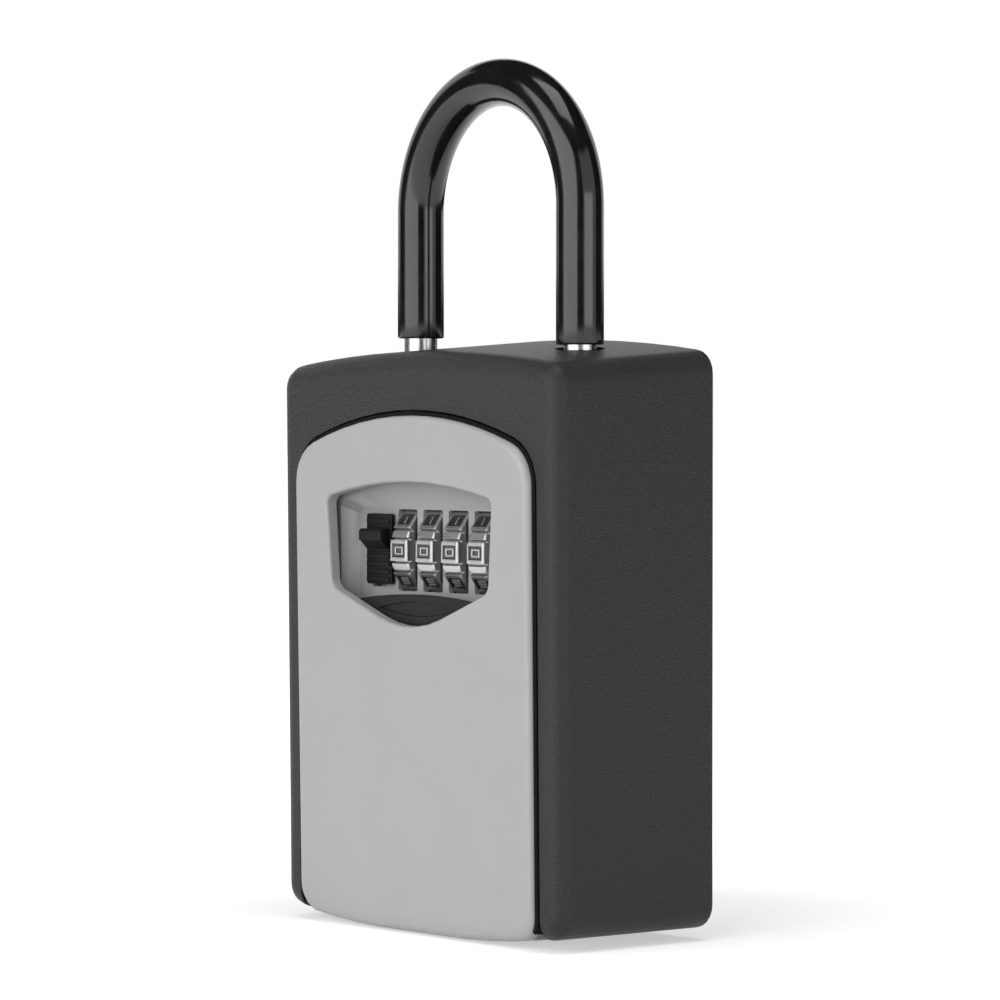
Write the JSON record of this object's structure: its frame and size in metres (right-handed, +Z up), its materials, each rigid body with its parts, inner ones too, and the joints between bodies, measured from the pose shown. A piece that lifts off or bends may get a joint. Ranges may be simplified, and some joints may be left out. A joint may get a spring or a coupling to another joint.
{
  "type": "key lock box",
  "caption": "Portable key lock box with a charcoal die-cast case, a light grey drop-down door with number dials, a slide latch and shutter, and a black-sleeved steel shackle.",
  "frame": {"origin": "Centre of the bounding box in X and Y, on the plane of the case's flat foot.", "axes": "+Z up along the shackle legs, door faces -Y, +X to the right of a person facing the door."},
  "size_m": [0.092, 0.044, 0.181],
  "materials": {
    "case_paint": "matte charcoal texture paint on a die casting",
    "door_paint": "satin light grey paint",
    "bright_steel": "bright plated steel",
    "dial_chrome": "satin chrome",
    "gloss_vinyl": "gloss black vinyl sleeve",
    "black_plastic": "matte black moulding",
    "shutter_plastic": "satin dark grey moulding",
    "zinc": "zinc plated sheet",
    "brass": "turned brass"
  },
  "bodies": {
    "case": {"case_shell": "case_paint", "shackle_bush_left": "black_plastic", "shackle_bush_right": "black_plastic", "hinge_pin_left": "bright_steel", "hinge_pin_right": "bright_steel", "shackle_lock_cover": "black_plastic", "lock_cover_screw_1": "bright_steel", "lock_cover_screw_2": "bright_steel", "release_spring": "bright_steel"},
    "shackle": {"shackle": "bright_steel", "shackle_sleeve": "gloss_vinyl", "shackle_retaining_ring": "bright_steel"},
    "release": {"shackle_lock_bar": "zinc", "release_button": "black_plastic"},
    "door": {"door_panel": "door_paint", "dial_tray": "door_paint", "tray_screw_1": "bright_steel", "tray_screw_2": "bright_steel", "tray_screw_3": "bright_steel", "tray_screw_4": "bright_steel", "mechanism_housing": "black_plastic", "housing_screw_1": "bright_steel", "housing_screw_2": "bright_steel", "housing_screw_3": "bright_steel", "mechanism_cover": "zinc", "cover_screw_1": "bright_steel", "cover_screw_2": "bright_steel", "cover_screw_3": "bright_steel", "cover_screw_4": "bright_steel", "dial_spindle": "bright_steel", "spindle_clip": "bright_steel", "detent_spring": "bright_steel", "latch_spring": "bright_steel", "reset_pivot_screw": "bright_steel"},
    "shutter": {"shutter": "shutter_plastic"},
    "latch": {"latch_slide": "black_plastic", "latch_bolt": "zinc", "latch_screw": "bright_steel"},
    "reset": {"reset_lever": "zinc"},
    "dial_1": {"dial_wheel_1": "dial_chrome", "code_cam_1": "brass"},
    "dial_2": {"dial_wheel_2": "dial_chrome", "code_cam_2": "brass"},
    "dial_3": {"dial_wheel_3": "dial_chrome", "code_cam_3": "brass"},
    "dial_4": {"dial_wheel_4": "dial_chrome", "code_cam_4": "brass"}
  },
  "joints": [
    {"name": "door_hinge", "type": "hinge", "parent": "case", "child": "door", "pos_m": [0, -0.0152, 0.01], "axis": [1, 0, 0], "range_deg": [0, 90]},
    {"name": "shackle_lift", "type": "slide", "parent": "case", "child": "shackle", "axis": [0, 0, 1], "range_m": [0, 0.0235]},
    {"name": "shackle_release", "type": "slide", "parent": "case", "child": "release", "axis": [1, 0, 0], "range_m": [0, 0.004], "stiffness_N_per_m": 300, "springref_m": -0.004},
    {"name": "shutter_slide", "type": "slide", "parent": "door", "child": "shutter", "axis": [0, 0, 1], "range_m": [0, 0.0235]},
    {"name": "latch_slide", "type": "slide", "parent": "door", "child": "latch", "axis": [0, 0, -1], "range_m": [0, 0.005], "stiffness_N_per_m": 400, "springref_m": -0.005, "deforming": ["latch_spring"]},
    {"name": "reset_lever_turn", "type": "hinge", "parent": "door", "child": "reset", "pos_m": [0.002, 0.0106, 0.07], "axis": [0, 1, 0], "range_deg": [0, 90]},
    {"name": "dial_1_turn", "type": "hinge", "parent": "door", "child": "dial_1", "pos_m": [-0.01035, -0.0047, 0.0788], "axis": [1, 0, 0], "continuous": true},
    {"name": "dial_2_turn", "type": "hinge", "parent": "door", "child": "dial_2", "pos_m": [-0.00185, -0.0047, 0.0788], "axis": [1, 0, 0], "continuous": true},
    {"name": "dial_3_turn", "type": "hinge", "parent": "door", "child": "dial_3", "pos_m": [0.00665, -0.0047, 0.0788], "axis": [1, 0, 0], "continuous": true},
    {"name": "dial_4_turn", "type": "hinge", "parent": "door", "child": "dial_4", "pos_m": [0.01515, -0.0047, 0.0788], "axis": [1, 0, 0], "continuous": true}
  ]
}
